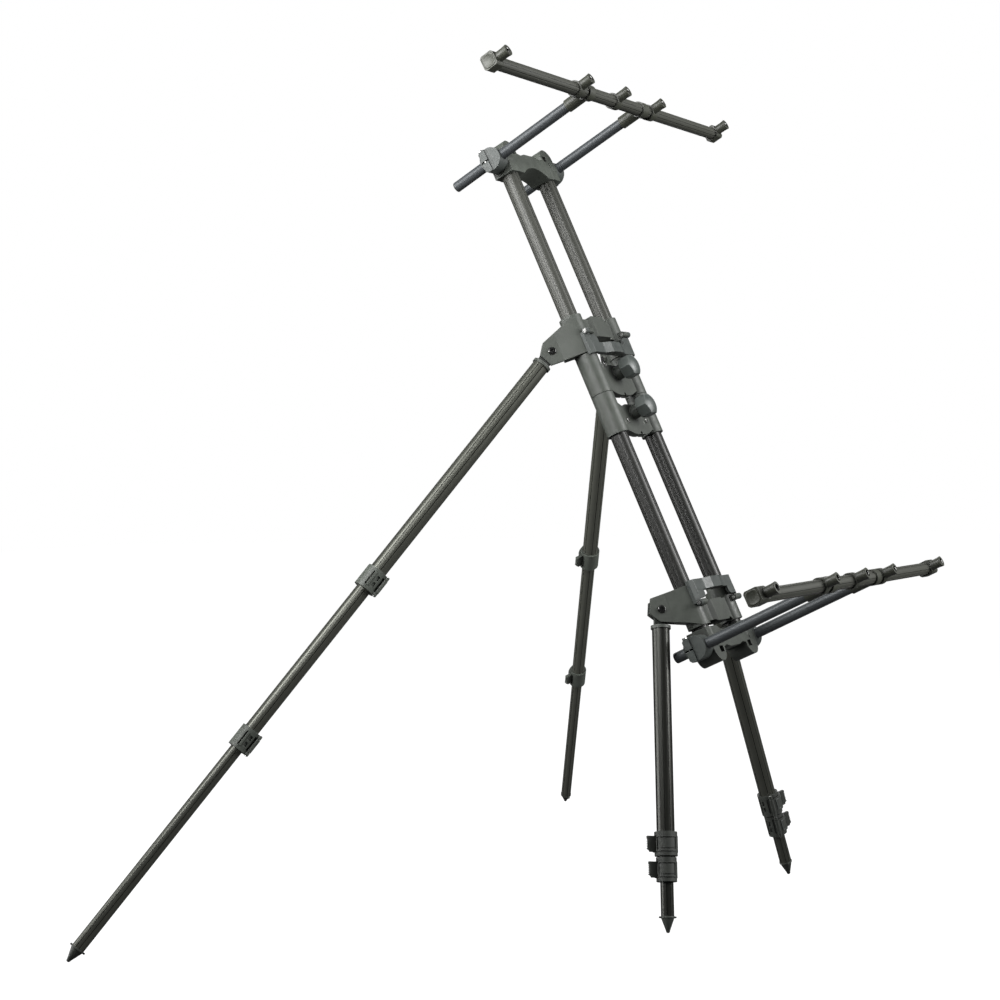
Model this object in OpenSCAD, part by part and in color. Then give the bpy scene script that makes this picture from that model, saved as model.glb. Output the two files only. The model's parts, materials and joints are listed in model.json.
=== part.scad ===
// Rod pod: an inclined spine of twin tubes, a goal-post rod rest at each end of it,
// and four telescopic legs with spikes. Millimetres, +Z up, +X towards the water,
// +Y to the left. The origin is on the ground, at the middle of the footprint's box.

/* [Stance] */
// Angle of the spine above the ground, degrees
spine_incline = 66.8; // [64:0.1:69]
// Height of the lower rest's axis above the ground
lower_axis_height = 331; // [322:1:340]
// Swing of the front legs away from the spine, degrees
front_swing = 58.5; // [56:0.1:61]
// Turn of the front legs' hinge plane about the spine, degrees
front_splay = 38.9; // [36:0.1:42]
// Swing of the rear legs away from the spine, degrees
rear_swing = 21.8; // [21:0.1:24]
// Turn of the rear legs' hinge plane about the spine, degrees
rear_splay = 44.4; // [43:0.1:47]

/* [Spine] */
// Outside diameter of a spine tube
spine_d = 23; // [22:0.5:24]
// Wall of a spine tube
spine_wall = 1.6; // [1.3:0.1:2]
// Distance between the axes of the two spine tubes
spine_gap = 96; // [92:1:100]
// Length of a lower spine tube
lower_tube_len = 366; // [350:1:390]
// Length of an upper spine tube
upper_tube_len = 360; // [345:1:385]
// Length of the inner tube that the upper half slides on
inner_spine_len = 340; // [300:5:345]
// Length of the inner tube that is held in the lower half
inner_spine_hold = 80; // [60:5:110]
// Seam between the two halves of the spine
spine_seam = 0.6; // [0.4:0.1:1]

/* [Joining sleeves] */
// Length of a joining sleeve
sleeve_len = 56; // [52:1:60]
// Wall of a joining sleeve
sleeve_wall = 3.2; // [2.5:0.1:3.4]
// Thickness of the web between two sleeves
sleeve_web = 9; // [7:0.5:11]
// Length of the boss that carries the knob
boss_len = 10; // [8:0.5:11]
// Diameter of the boss that carries the knob
boss_d = 19; // [16:0.5:21]
// Diameter of a knob over its corners
knob_d = 31; // [28:0.5:32]
// Length of a knob
knob_len = 21.5; // [20:0.5:25]
// Diameter of a knob's screw
knob_screw_d = 6; // [5:0.5:7]

/* [Leg brackets] */
// Distance from the join of the spine up to the front legs' pivots
front_pivot_rise = 75; // [74.6:0.2:84]
// Distance from the lower rest's axis up to the rear legs' pivots
rear_pivot_rise = 61.5; // [60:0.5:70]
// Distance from a spine tube's axis out to a leg pivot
ear_reach = 41.2; // [39:0.2:44]
// Distance from a spine tube's axis to the plane that a leg swings in
ear_offset = 6; // [5:0.2:7]
// Length of a bracket along the spine
bracket_len = 54; // [51:1:57]
// Distance from a leg pivot to the square edge of its bracket
bracket_square = 17.5; // [16:0.5:18]
// Wall of the bracket round a spine tube
bracket_wall = 3.2; // [2.6:0.1:3.3]
// Thickness of each cheek of an ear
ear_plate = 3.6; // [3:0.1:4]
// Distance from a leg pivot to the nose of its ear
ear_nose = 16.5; // [15:0.5:17.5]
// Depth of an ear's slot from the leg pivot towards the spine
slot_depth = 12; // [11:0.5:14]
// Distance that an inner cheek's square edge is cut back
cheek_step = 3.5; // [2:0.5:5]
// Diameter of a leg pivot bolt
pivot_bolt_d = 6; // [5:0.5:7]
// Distance from the spine tubes' plane to the clamp lever's pins
arch_pin_out = 18.5; // [18.4:0.1:19.5]
// Distance from the leg pivots up to the clamp lever's pins
arch_pin_rise = 9; // [8.5:0.5:10]
// Length of a clamp lever from its pins to its edge
arch_len = 30.5; // [28:0.5:32]
// Width of a clamp lever's arm
arch_arm_w = 6.5; // [5:0.1:7]
// Diameter of a clamp lever's hubs
arch_hub_d = 8; // [7:0.1:8]
// Width of a clamp lever's cross bar
arch_bar_w = 14.5; // [11:0.5:15]
// Diameter of a clamp lever's pin
arch_pin_d = 4; // [3:0.1:4.4]

/* [Rod rests] */
// Outside diameter of a rest's arm
arm_d = 14; // [12:0.5:15]
// Wall of a rest's arm
arm_wall = 1.5; // [1:0.1:2]
// Distance between the axes of a rest's two arms
arm_gap = 148; // [146:1:152]
// Length of an arm from its bar's axis to its tail
arm_len = 223; // [219:1:235]
// Distance from the spine to the upper bar's axis
upper_reach = 157; // [150:1:163]
// Distance from the spine to the lower bar's axis
lower_reach = 190; // [186:1:193]
// Tilt of the upper rest above square, degrees
upper_tilt = 3; // [0:0.5:8]
// Tilt of the lower rest above square, degrees
lower_tilt = 1; // [0:0.5:5]
// Outside diameter of a bar
bar_d = 16.5; // [15:0.5:18]
// Wall of a bar
bar_wall = 1.5; // [1:0.1:2]
// Half of the upper bar's length over its caps
upper_bar_half = 310; // [290:1:330]
// Half of the lower bar's length over its caps
lower_bar_half = 293; // [280:1:310]
// Distance from the middle to an inner socket of the upper bar
upper_inner_socket = 100; // [97:1:130]
// Distance from the middle to an inner socket of the lower bar
lower_inner_socket = 97; // [96:1:130]
// Distance from the middle to an end socket of the upper bar
upper_end_socket = 301; // [280:1:303]
// Distance from the middle to an end socket of the lower bar
lower_end_socket = 277; // [265:1:280]
// Diameter of a socket's stub
stub_d = 13.2; // [12.5:0.1:15]
// Growth of a stub's radius at its mouth
stub_flare = 0.6; // [0:0.1:1]
// Distance from a bar's axis to a socket's mouth
socket_tip = 24.5; // [22:0.5:28]
// Diameter of a socket's threaded hole
socket_hole_d = 8.4; // [8:0.1:9.6]
// Width of a socket's collar
socket_collar_w = 13; // [11:0.5:15]
// Wall of a collar round a bar
collar_wall = 2.1; // [1.8:0.1:3]
// Width of a tee joint's collar
tee_w = 15; // [13:0.5:17]
// Length of a tee joint's ferrule past the bar's axis
ferrule_len = 31; // [28:0.5:38]
// Wall of a tee joint's ferrule
ferrule_wall = 1.6; // [1.4:0.1:2.4]
// Wall of an end cap round its bar
cap_wall = 1.2; // [1:0.1:2]
// Thickness of an end cap's face
cap_face = 3.5; // [2.5:0.1:5]

/* [Crossheads] */
// Wall of a crosshead round a spine tube
crosshead_wall = 3.5; // [3:0.1:4]
// Depth of a crosshead from the rod side to the leg side
crosshead_depth = 29; // [26.5:0.5:31]
// Length of a crosshead from the rest's axis to its open end
crosshead_skirt = 21; // [19:0.5:22]
// Distance that a spine tube runs past the rest's axis
tube_past = 17; // [15:0.5:18]
// Thickness of the round pad that a knuckle turns on
pad_len = 1.6; // [1.2:0.1:2]
// Diameter of the round pad and of the knuckle's hub
hub_d = 31; // [28:0.5:33]
// Length of a knuckle's clamp block past the arm's pivot
block_out = 12; // [11:0.5:15]
// Width of the lips outside an arm in the clamp block
lip_w = 6; // [5:0.5:6.5]
// Diameter of the spigot that a knuckle turns on
spigot_d = 16; // [13:0.5:18]
// Length of the spigot that a knuckle turns on
spigot_len = 4; // [3:0.1:4.2]
// Diameter of a clamp screw
clamp_screw_d = 3.5; // [3:0.5:4]

/* [Legs] */
// Outside diameter of a leg's outer tube
outer_leg_d = 22; // [21:0.5:22]
// Wall of a leg tube
leg_wall = 1.2; // [1:0.1:1.4]
// Thickness of the tongue at the top of a leg
tongue = 5; // [4:0.2:6]
// Distance from a leg pivot to the top of the outer tube
tube_start = 24; // [24:0.5:28]
// Distance from a pivot to the middle of a front leg's upper lock
front_upper_lock = 379; // [365:1:395]
// Distance from a pivot to the middle of the front left leg's lower lock
left_lower_lock = 628; // [624:1:640]
// Distance from a pivot to the middle of the front right leg's lower lock
front_lower_lock = 641; // [625:1:655]
// Distance from a pivot to the middle of a rear leg's upper lock
rear_upper_lock = 289; // [280:1:290]
// Distance from a pivot to the middle of a rear leg's lower lock
rear_lower_lock = 319.5; // [319:0.5:322]
// Length of a front leg's middle tube
front_middle_len = 352; // [320:1:355]
// Length of a front leg's inner tube
front_inner_len = 350; // [320:1:355]
// Length of a rear leg's middle tube
rear_middle_len = 268; // [240:1:270]
// Length of a rear leg's inner tube
rear_inner_len = 270; // [240:1:275]
// Length of a lock collar
lock_len = 29; // [28:0.5:29.5]
// Wall of a lock collar's end rings
lock_wall = 2.9; // [2.6:0.1:3.4]
// Wall of a lock collar's waist
waist_wall = 1.7; // [1.4:0.1:2]
// Length of a lock collar's end ring
ring_len = 4.6; // [4:0.1:5]
// Length of a lock collar that stands past its tube
lock_lip = 8; // [6:0.5:9]
// Diameter of a lock lever's pin
lock_pin_d = 2.4; // [2:0.1:2.8]
// Diameter of a lock lever's eye
lock_eye_d = 5.8; // [5.2:0.1:6.4]
// Thickness of a lock lever's blade
blade_thick = 3; // [2.4:0.1:3.6]
// Distance that a lock lever's thumb tab stands out from its tube
tab_out = 12.5; // [10:0.5:14]
// Thickness of a lock lever's thumb tab
tab_thick = 4.2; // [3:0.2:5]
// Length of a spike from the tube's end to the centre of its tip
spike_len = 17; // [14:0.5:20]
// Radius of a spike's tip
spike_tip_r = 2.5; // [2:0.1:3]

/* [Fits] */
// Gap round a piece that slides
slide_gap = 0.3; // [0.25:0.05:0.4]
// Gap round a pin or pivot that turns
turn_gap = 0.1; // [0.05:0.01:0.1]
// Gap round a piece that is fixed in another
fixed_gap = 0.1; // [0.05:0.01:0.15]
// Gap between two faces that pass each other
face_gap = 0.4; // [0.3:0.05:0.5]
// Width of a flute along a tube
flute_w = 1.4; // [1:0.1:1.8]
// Depth of a flute along a tube
flute_depth = 0.5; // [0.3:0.05:0.6]

/* [Hidden] */
$fn = 48;
eps = 0.01;
past = 1;

gunmetal = [0.33, 0.34, 0.32];
arm_grey = [0.24, 0.26, 0.27];
moulding = [0.27, 0.29, 0.28];
lever_grey = [0.25, 0.27, 0.26];
steel = [0.72, 0.73, 0.72];

// Stations along the spine, from the lower rest's axis
tube_foot = -tube_past;
join = tube_foot + lower_tube_len;
upper_foot = join + spine_seam;
upper_axis = upper_foot + upper_tube_len - tube_past;
front_pivot = join + front_pivot_rise;
rear_pivot = rear_pivot_rise;

tube_y = spine_gap / 2;
arm_y = arm_gap / 2;
inner_spine_d = spine_d - 2 * (spine_wall + slide_gap);
sleeve_d = spine_d + 2 * sleeve_wall;
bracket_d = spine_d + 2 * (slide_gap + bracket_wall);
socket_d = spine_d + 2 * (fixed_gap + crosshead_wall);

// Telescopic sections of a leg
middle_leg_d = outer_leg_d - 2 * (leg_wall + slide_gap);
inner_leg_d = middle_leg_d - 2 * (leg_wall + slide_gap);
slot_half = tongue / 2 + face_gap;
ear_half = slot_half + ear_plate;

// Each leg pair: pivot station, swing, splay, upper lock, lower lock, middle tube, inner tube
FRONT = [front_pivot, front_swing, front_splay, front_upper_lock, front_lower_lock,
         front_middle_len, front_inner_len];
FRONT_LEFT = [front_pivot, front_swing, front_splay, front_upper_lock, left_lower_lock,
              front_middle_len, front_inner_len];
REAR = [rear_pivot, rear_swing, rear_splay, rear_upper_lock, rear_lower_lock,
        rear_middle_len, rear_inner_len];

function pivot_x(pair) = ear_reach * cos(pair[2]) - ear_offset * sin(pair[2]);
function pivot_y(pair) = tube_y + ear_reach * sin(pair[2]) + ear_offset * cos(pair[2]);
// World height and forward place of a pivot, with the spine's foot axis at x = 0
function pivot_height(pair) =
    lower_axis_height + pair[0] * sin(spine_incline) - pivot_x(pair) * cos(spine_incline);
function pivot_forward(pair) = pair[0] * cos(spine_incline) + pivot_x(pair) * sin(spine_incline);
// How fast a leg falls and runs forward along its length
function leg_drop(pair) =
    sin(pair[1]) * cos(pair[2]) * cos(spine_incline) + cos(pair[1]) * sin(spine_incline);
function leg_run(pair) =
    sin(pair[1]) * cos(pair[2]) * sin(spine_incline) - cos(pair[1]) * cos(spine_incline);
// Distance from a pivot to the centre of the spike's tip, which rests on the ground
function leg_len(pair) = (pivot_height(pair) - spike_tip_r) / leg_drop(pair);
function inner_end(pair) = leg_len(pair) - spike_len;

// The box's middle is between the lower sockets' mouths and the front spikes
lower_lean = spine_incline - lower_tilt;
box_back = -(lower_reach + socket_tip) * sin(lower_lean) - (stub_d / 2 + stub_flare) * cos(lower_lean);
box_front = pivot_forward(FRONT) + leg_len(FRONT) * leg_run(FRONT) + spike_tip_r;
frame_shift = -(box_back + box_front) / 2;

LEGS = ["front_left", "front_right", "rear_left", "rear_right"];

// Places

module on_spine(station = 0) {
    translate([frame_shift, 0, lower_axis_height])
        rotate([0, 90 - spine_incline, 0])
            translate([0, 0, station]) children();
}

module both_sides() {
    children();
    mirror([0, 1, 0]) children();
}

module at_tubes() {
    for (side = [-1, 1]) translate([0, side * tube_y, 0]) children();
}

// A rear bracket and a lower crosshead are the front and upper ones turned end for end
module end_for_end(turned) {
    rotate([turned ? 180 : 0, 0, 0]) children();
}

// Leg frame: pivot at the origin, leg along -Z, hinge along Y
module on_leg(pair, side) {
    on_spine(pair[0])
        translate([pivot_x(pair), side * pivot_y(pair), 0])
            rotate([0, 0, side * pair[2]])
                rotate([0, -pair[1], 0])
                    rotate([0, 0, side > 0 ? 0 : 180]) children();
}

// A rest's frame: the arms' plane, with the bar towards -X
module on_rest(upper) {
    on_spine(upper ? upper_axis : 0)
        rotate([0, upper ? upper_tilt : lower_tilt, 0]) children();
}

// Shared shapes

module along_y(length, d) {
    rotate([-90, 0, 0]) cylinder(d = d, h = length);
}

module along_x(length, d) {
    rotate([0, 90, 0]) cylinder(d = d, h = length);
}

// Extrudes a drawing of Y and Z along X
module plate_yz(from, to) {
    translate([from, 0, 0]) rotate([90, 0, 90]) linear_extrude(to - from) children();
}

// A tube with four pairs of flutes along it
module fluted_tube(d, wall, length) {
    flute_turn = 17;
    linear_extrude(length) difference() {
        circle(d = d);
        circle(d = d - 2 * wall);
        for (quarter = [0:90:270]) for (turn = [-flute_turn, flute_turn])
            rotate(quarter + turn)
                translate([d / 2 - flute_depth, -flute_w / 2]) square([flute_depth + past, flute_w]);
    }
}

// Spine

module lower_spine_tubes() {
    color(gunmetal) on_spine(tube_foot) at_tubes() fluted_tube(spine_d, spine_wall, lower_tube_len);
}

module upper_spine_tubes() {
    color(gunmetal) on_spine(upper_foot) at_tubes() fluted_tube(spine_d, spine_wall, upper_tube_len);
}

module inner_spine_tubes() {
    color(arm_grey) on_spine(join - inner_spine_hold) at_tubes()
        linear_extrude(inner_spine_len) difference() {
            circle(d = inner_spine_d);
            circle(d = inner_spine_d - 2 * spine_wall);
        }
}

// Joining sleeves

sleeve_web_back = 0;
sleeve_web_face = sleeve_web_back - sleeve_web;
knob_seat = sleeve_web_face - boss_len;
sleeve_screw_d = 4;
sleeve_screw_y = 25;

// Web outline, with a waved upper edge and a lip that hangs below the sleeves
module sleeve_web_outline() {
    reach = tube_y - spine_d / 2;
    shoulder = sleeve_len - 12;
    dip = 7;
    bump = 15;
    lip = 3;
    polygon([[-reach, 4], [-reach, shoulder], [-bump - 9, shoulder - dip], [-bump, shoulder - 4],
             [bump, shoulder - 4], [bump + 9, shoulder - dip], [reach, shoulder], [reach, 4],
             [bump + 6, -lip / 2], [bump - 3, -lip], [3 - bump, -lip], [-bump - 6, -lip / 2]]);
}

module sleeve(station, screw_rise) {
    eyelet_d = 5;
    color(moulding) on_spine(station) difference() {
        union() {
            at_tubes() cylinder(d = sleeve_d, h = sleeve_len);
            plate_yz(sleeve_web_face, sleeve_web_back) sleeve_web_outline();
            translate([knob_seat, 0, sleeve_len / 2]) along_x(boss_len + past, boss_d);
        }
        translate([0, 0, -past]) at_tubes()
            cylinder(d = spine_d + 2 * fixed_gap, h = sleeve_len + 2 * past);
        translate([knob_seat - past, 0, sleeve_len / 2])
            along_x(boss_len + sleeve_web + 2 * past, knob_screw_d + 2 * slide_gap);
        for (side = [-1, 1]) translate([sleeve_web_face - past, side * sleeve_screw_y, screw_rise])
            along_x(sleeve_web + 2 * past, sleeve_screw_d);
        translate([sleeve_web_face - past, 0, eyelet_d / 2 - 4]) along_x(sleeve_web + 2 * past, eyelet_d);
    }
}

// A six-sided knob with a domed end, on its own screw
module knob(station) {
    neck = 2;
    dome = knob_d * 0.85;
    corner = 1.5;
    screw_len = boss_len + sleeve_web;
    color(lever_grey) on_spine(station + sleeve_len / 2) translate([knob_seat - face_gap, 0, 0])
        rotate([0, -90, 0]) {
            cylinder(d = boss_d, h = neck + eps);
            intersection() {
                translate([0, 0, neck]) rotate(30) cylinder(d = knob_d, h = knob_len - neck, $fn = 6);
                translate([0, 0, knob_len - dome]) sphere(r = dome);
                translate([0, 0, neck])
                    cylinder(d1 = knob_d - 2 * corner, d2 = knob_d + 2 * knob_len, h = knob_len);
            }
            translate([0, 0, -screw_len]) cylinder(d = knob_screw_d, h = screw_len + eps);
        }
}

// Leg brackets, drawn as the front one with the leg pivots at height 0

bracket_top = bracket_len - bracket_square;
lug_y = [tube_y - 6, tube_y + 4.6];
arch_y = [lug_y[1] + face_gap, lug_y[1] + face_gap + arch_arm_w];

// Ear outline in its own plane, from the spine tube's axis outwards
module ear_outline() {
    slope_out = 26;
    nose_up = 14;
    polygon([[0, -bracket_square], [ear_reach + 8, -bracket_square],
             [ear_reach + ear_nose, 0], [ear_reach + 7.5, nose_up],
             [ear_reach - slope_out, 28], [0, bracket_top]]);
}

// A flat wing with a slot for the leg's tongue
module ear() {
    far = ear_reach + ear_nose;
    head_d = 1.6 * pivot_bolt_d;
    head_depth = 1.5;
    translate([0, ear_offset, 0]) difference() {
        translate([0, ear_half, 0]) rotate([90, 0, 0]) linear_extrude(2 * ear_half) ear_outline();
        translate([ear_reach - slot_depth, -slot_half, -bracket_len]) cube([far, 2 * slot_half, 2 * bracket_len]);
        translate([ear_reach - slot_depth, -ear_half - past, -bracket_square - past])
            cube([far, ear_half + past, cheek_step + past]);
        translate([ear_reach, -ear_half - past, 0])
            along_y(2 * (ear_half + past), pivot_bolt_d + 2 * fixed_gap);
        translate([ear_reach, ear_half - head_depth, 0]) along_y(head_depth + past, head_d + 1);
    }
}

// Web between the bracket's tubes: a raised block in the middle and a waved upper edge
module bracket_web() {
    reach = tube_y - spine_d / 2;
    foot = 5.5;
    crown = bracket_top - 1.5;
    valley = bracket_top - 4.5;
    face = -9;
    raised = -14;
    back = 4;
    intersection() {
        plate_yz(raised, back)
            polygon([[-reach, foot], [-reach, bracket_top], [-32, valley], [-20, valley], [-16, crown],
                     [16, crown], [20, valley], [32, valley], [reach, bracket_top], [reach, foot]]);
        linear_extrude(bracket_top)
            polygon([[back, -reach], [back, reach], [face, reach], [face, 22], [raised, 16],
                     [raised, -16], [face, -22], [face, -reach]]);
    }
}

module bracket_lug() {
    translate([-arch_pin_out, lug_y[0], arch_pin_rise]) {
        along_y(lug_y[1] - lug_y[0], arch_hub_d);
        translate([0, 0, -arch_hub_d / 2])
            cube([arch_pin_out - spine_d / 4, lug_y[1] - lug_y[0], arch_hub_d]);
    }
}

module bracket(pair, turned) {
    color(moulding) on_spine(pair[0]) end_for_end(turned) difference() {
        union() {
            translate([0, 0, -bracket_square]) at_tubes() cylinder(d = bracket_d, h = bracket_len);
            bracket_web();
            both_sides() {
                bracket_lug();
                translate([0, tube_y, 0]) rotate([0, 0, pair[2]]) ear();
            }
        }
        translate([0, 0, -bracket_square - past]) at_tubes()
            cylinder(d = spine_d + 2 * slide_gap, h = bracket_len + 2 * past);
        both_sides() translate([-arch_pin_out, lug_y[0] - past, arch_pin_rise])
            along_y(lug_y[1] - lug_y[0] + 2 * past, arch_pin_d + 2 * fixed_gap);
    }
}

// Leg pivots with a sunk head and a nut, and the clamp lever's headed pins
module bracket_bolts(pair, turned) {
    head_d = 1.6 * pivot_bolt_d;
    head_h = 2.2;
    head_sunk = 1.5;
    nut_d = 10;
    nut_h = 4;
    pin_head = [arch_pin_d + 1.6, 0.8];
    color(steel) on_spine(pair[0]) end_for_end(turned) both_sides() {
        translate([0, tube_y, 0]) rotate([0, 0, pair[2]]) translate([ear_reach, ear_offset, 0]) {
            translate([0, -ear_half - nut_h, 0]) {
                along_y(2 * ear_half + nut_h, pivot_bolt_d);
                rotate([-90, 0, 0]) cylinder(d = nut_d, h = nut_h - fixed_gap, $fn = 6);
            }
            translate([0, ear_half - head_sunk + fixed_gap, 0]) along_y(head_h, head_d);
        }
        translate([-arch_pin_out, 0, arch_pin_rise]) {
            translate([0, lug_y[0], 0]) along_y(arch_y[1] + face_gap - lug_y[0] + eps, arch_pin_d);
            translate([0, arch_y[1] + face_gap, 0]) along_y(pin_head[1], pin_head[0]);
        }
    }
}

// A clamp lever's section across the spine: raised in the middle, hugging the bracket's sleeves
module arch_outline() {
    bulge = -24;
    front = -19.5;
    back = -13;
    tip = arch_y[1];
    difference() {
        polygon([[back, -tip + 14], [-10.5, -tip + 8], [-10.5, -tip], [-15, -tip], [front, 6 - tip], [front, -27],
                 [bulge, -12], [bulge, 12], [front, 27], [front, tip - 6], [-15, tip], [-10.5, tip],
                 [-10.5, tip - 8], [back, tip - 14]]);
        for (side = [-1, 1]) translate([0, side * tube_y]) circle(d = bracket_d + 2 * face_gap);
    }
}

module clamp_lever(pair, turned) {
    color(lever_grey) on_spine(pair[0]) end_for_end(turned) difference() {
        union() {
            translate([0, 0, arch_pin_rise - arch_len]) linear_extrude(arch_bar_w) arch_outline();
            both_sides() {
                translate([0, 0, arch_pin_rise - arch_len]) linear_extrude(arch_len) intersection() {
                    arch_outline();
                    translate([-arch_pin_out - arch_hub_d, arch_y[0]]) square([2 * arch_hub_d, arch_arm_w]);
                }
                translate([-arch_pin_out, arch_y[0], arch_pin_rise]) along_y(arch_arm_w, arch_hub_d);
            }
        }
        both_sides() translate([-arch_pin_out, arch_y[0] - past, arch_pin_rise])
            along_y(arch_arm_w + 2 * past, arch_pin_d + 2 * turn_gap);
    }
}

// Crossheads, drawn as the upper one with the rest's axis at height 0

tower_r = socket_d / 2;
tower_rise = 9.8;
pad_face = tube_y + tower_r + pad_len;

module crosshead_outline() {
    valley = 6;
    crest = 9;
    bump = 14;
    arch_rise = 11;
    arch_half = tube_y - tower_r - 1;
    arch_r = (arch_half * arch_half + arch_rise * arch_rise) / (2 * arch_rise);
    difference() {
        union() {
            for (side = [-1, 1]) translate([side * tube_y, 0]) {
                translate([0, tower_rise]) circle(r = tower_r);
                translate([-tower_r, -crosshead_skirt]) square([2 * tower_r, crosshead_skirt + tower_rise]);
            }
            polygon([[-tube_y, -crosshead_skirt], [-tube_y, crest + 2], [-bump - 10, valley],
                     [-bump, crest], [bump, crest], [bump + 10, valley],
                     [tube_y, crest + 2], [tube_y, -crosshead_skirt]]);
        }
        translate([0, arch_rise - crosshead_skirt - arch_r]) circle(r = arch_r);
    }
}

module crosshead(upper) {
    recess = [6, 10, 8];
    recess_in = 6;
    recess_z = 10;
    color(moulding) on_spine(upper ? upper_axis : 0) end_for_end(!upper) difference() {
        union() {
            plate_yz(-crosshead_depth / 2, crosshead_depth / 2) crosshead_outline();
            at_tubes() translate([0, 0, -crosshead_skirt]) cylinder(d = socket_d, h = crosshead_skirt);
            both_sides() translate([0, tube_y, 0]) along_y(pad_face - tube_y, hub_d);
        }
        at_tubes() translate([0, 0, -crosshead_skirt - past])
            cylinder(d = spine_d + 2 * fixed_gap, h = crosshead_skirt + tube_past + past + fixed_gap);
        both_sides() {
            translate([0, pad_face - spigot_len - face_gap, 0])
                along_y(spigot_len + face_gap + past, spigot_d + 2 * turn_gap);
            translate([-crosshead_depth / 2 - eps, tube_y - recess_in - recess[1] / 2, recess_z - recess[2] / 2])
                cube([recess[0], recess[1], recess[2]]);
        }
    }
}

// A knuckle turns on the crosshead's pad and clamps one arm
module knuckle() {
    inner_face = pad_face + face_gap;
    outer_face = arm_y + arm_d / 2 + lip_w;
    split = 2;
    block_in = 2;
    chamfer = 3;
    bevel = [[block_in, -hub_d / 2], [block_out - chamfer, -hub_d / 2], [block_out, chamfer - hub_d / 2],
             [block_out, hub_d / 2 - chamfer], [block_out - chamfer, hub_d / 2], [block_in, hub_d / 2]];
    difference() {
        union() {
            translate([0, inner_face, 0]) along_y(outer_face - inner_face - 2, hub_d);
            translate([0, outer_face, 0]) rotate([90, 0, 0])
                linear_extrude(outer_face - inner_face) polygon(bevel);
            translate([0, inner_face - spigot_len, 0]) along_y(spigot_len + past, spigot_d);
        }
        translate([-hub_d, arm_y, 0]) along_x(2 * hub_d, arm_d + 2 * slide_gap);
        translate([block_in, arm_y, -split / 2]) cube([block_out, lip_w + arm_d, split]);
        knuckle_screw_place() translate([0, 0, -hub_d]) cylinder(d = clamp_screw_d + 2 * fixed_gap, h = 2 * hub_d);
    }
}

module knuckle_screw_place() {
    translate([(block_out + 2) / 2 + 1, arm_y + arm_d / 2 + lip_w / 2, 0]) children();
}

module knuckles(upper) {
    color(moulding) on_rest(upper) both_sides() knuckle();
}

// Rod rests

function reach_of(upper) = upper ? upper_reach : lower_reach;
function half_of(upper) = upper ? upper_bar_half : lower_bar_half;
function inner_socket_of(upper) = upper ? upper_inner_socket : lower_inner_socket;
function end_socket_of(upper) = upper ? upper_end_socket : lower_end_socket;

module arms(upper) {
    plug = 8;
    start = bar_d / 2 + collar_wall + fixed_gap;
    color(arm_grey) on_rest(upper) both_sides()
        translate([start - reach_of(upper), arm_y, 0]) difference() {
            along_x(arm_len - start, arm_d);
            translate([-eps, 0, 0]) along_x(arm_len - start - plug, arm_d - 2 * arm_wall);
        }
}

module bar(upper) {
    length = 2 * (half_of(upper) - cap_face - fixed_gap);
    color(gunmetal) on_rest(upper) translate([-reach_of(upper), -length / 2, 0])
        rotate([-90, 0, 0]) rotate(45) fluted_tube(bar_d, bar_wall, length);
}

// Everything below is drawn round the bar's axis, with the sockets towards -X

module stub() {
    flare = 6;
    rotate([0, -90, 0]) {
        cylinder(d = stub_d, h = socket_tip);
        translate([0, 0, socket_tip - flare])
            cylinder(d1 = stub_d, d2 = stub_d + 2 * stub_flare, h = flare);
    }
}

module socket_hole() {
    translate([-socket_tip - past, 0, 0])
        along_x(socket_tip + past - bar_d / 2 - collar_wall / 2, socket_hole_d);
}

module ring(width) {
    translate([0, -width / 2, 0]) along_y(width, bar_d + 2 * (fixed_gap + collar_wall));
}

module bar_bore(width) {
    translate([0, -width / 2, 0]) along_y(width, bar_d + 2 * fixed_gap);
}

module socket() {
    difference() {
        union() {
            ring(socket_collar_w);
            stub();
        }
        bar_bore(socket_collar_w + stub_d);
        socket_hole();
    }
}

// An end socket is a rounded square cap over the bar's end
module end_socket(upper) {
    width = bar_d + 2 * (fixed_gap + cap_wall);
    corner_d = 1.24 * width;
    outer = half_of(upper) - end_socket_of(upper);
    length = outer + socket_collar_w / 2;
    difference() {
        union() {
            translate([0, outer, 0]) rotate([90, 0, 0]) linear_extrude(length) intersection() {
                square(width, center = true);
                circle(d = corner_d);
            }
            stub();
        }
        translate([0, outer - cap_face - 2 * length, 0]) along_y(2 * length, bar_d + 2 * fixed_gap);
        socket_hole();
    }
}

module tee() {
    ferrule_d = arm_d + 2 * (fixed_gap + ferrule_wall);
    difference() {
        union() {
            ring(tee_w);
            along_x(ferrule_len, ferrule_d);
        }
        bar_bore(tee_w + ferrule_d);
        translate([bar_d / 2 + collar_wall, 0, 0]) along_x(ferrule_len, arm_d + 2 * fixed_gap);
    }
}

module bar_fittings(upper) {
    color(moulding) on_rest(upper) translate([-reach_of(upper), 0, 0]) {
        socket();
        both_sides() {
            translate([0, arm_y, 0]) tee();
            translate([0, inner_socket_of(upper), 0]) socket();
            translate([0, end_socket_of(upper), 0]) end_socket(upper);
        }
    }
}

// Legs, drawn with the pivot at the origin and the leg along -Z

module leg_top() {
    eye_d = 18;
    rim = 4;
    rim_d = outer_leg_d + 3;
    plug_len = 22;
    color(moulding) difference() {
        union() {
            translate([0, -tongue / 2, 0]) along_y(tongue, eye_d);
            translate([-eye_d / 2 + 0.5, -tongue / 2, -tube_start + eps])
                cube([eye_d - 1, tongue, tube_start]);
            translate([0, 0, -tube_start]) cylinder(d = rim_d, h = rim);
            translate([0, 0, -tube_start - plug_len])
                cylinder(d = outer_leg_d - 2 * (leg_wall + fixed_gap), h = plug_len + eps);
        }
        translate([0, -tongue, 0]) along_y(2 * tongue, pivot_bolt_d + 2 * turn_gap);
    }
}

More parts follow.
